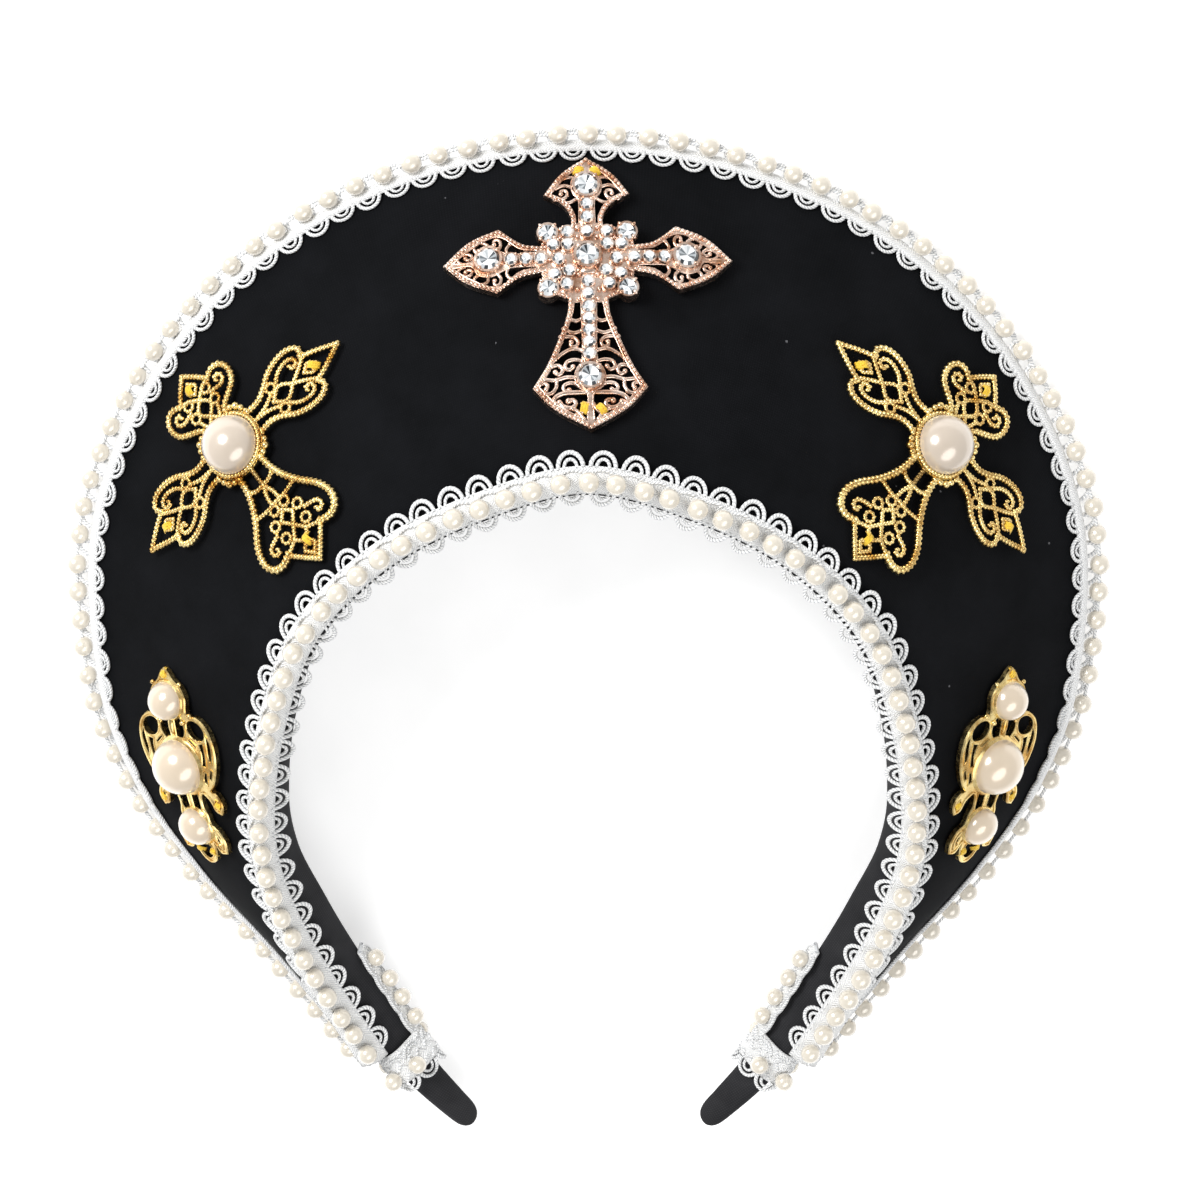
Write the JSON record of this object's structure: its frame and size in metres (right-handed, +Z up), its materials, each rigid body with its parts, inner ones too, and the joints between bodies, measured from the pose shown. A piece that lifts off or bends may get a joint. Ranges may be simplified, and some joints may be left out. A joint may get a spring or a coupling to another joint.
{
  "type": "french hood headband",
  "caption": "Stiff crescent headdress on a headband, covered in black cloth, edged with pearl lace and set with filigree crosses and brooches.",
  "frame": {"origin": "centre of the bounding box's base, where the outer rim rests as the halo lies on its back", "axes": "+X to the right and +Y to the top of the halo as its decorated face is seen, +Z up out of that face"},
  "size_m": [0.2328, 0.2343, 0.0545],
  "materials": {
    "black_cloth": "matte black cloth with a fine weave",
    "lace": "white corded lace",
    "white_pearl": "pearl lacquer",
    "cream_pearl": "pearl lacquer",
    "rose_gold": "cast and plated rose gold",
    "yellow_gold": "cast and plated yellow gold",
    "crystal": "cut glass with a foil back"
  },
  "bodies": {
    "root": {"headband": "black_cloth", "halo_panel": "black_cloth", "outer_lace": "lace", "inner_lace": "lace", "wrap_lace_left": "lace", "wrap_lace_right": "lace", "tail_lace_left": "lace", "tail_lace_right": "lace", "outer_pearl_string": "white_pearl", "inner_pearl_string": "white_pearl", "tail_pearls_left": "white_pearl", "tail_pearls_right": "white_pearl", "cross_frame": "rose_gold", "cross_pave": "rose_gold", "cross_stone_centre": "crystal", "cross_stone_top": "crystal", "cross_stone_left": "crystal", "cross_stone_right": "crystal", "cross_stone_bottom": "crystal", "corner_stone_top_left": "crystal", "corner_stone_top_right": "crystal", "corner_stone_low_left": "crystal", "corner_stone_low_right": "crystal", "side_cross_left": "yellow_gold", "side_cross_right": "yellow_gold", "brooch_left": "yellow_gold", "brooch_right": "yellow_gold", "side_pearl_left": "cream_pearl", "side_pearl_right": "cream_pearl", "brooch_pearl_top_left": "cream_pearl", "brooch_pearl_middle_left": "cream_pearl", "brooch_pearl_low_left": "cream_pearl", "brooch_pearl_top_right": "cream_pearl", "brooch_pearl_middle_right": "cream_pearl", "brooch_pearl_low_right": "cream_pearl"}
  },
  "joints": []
}
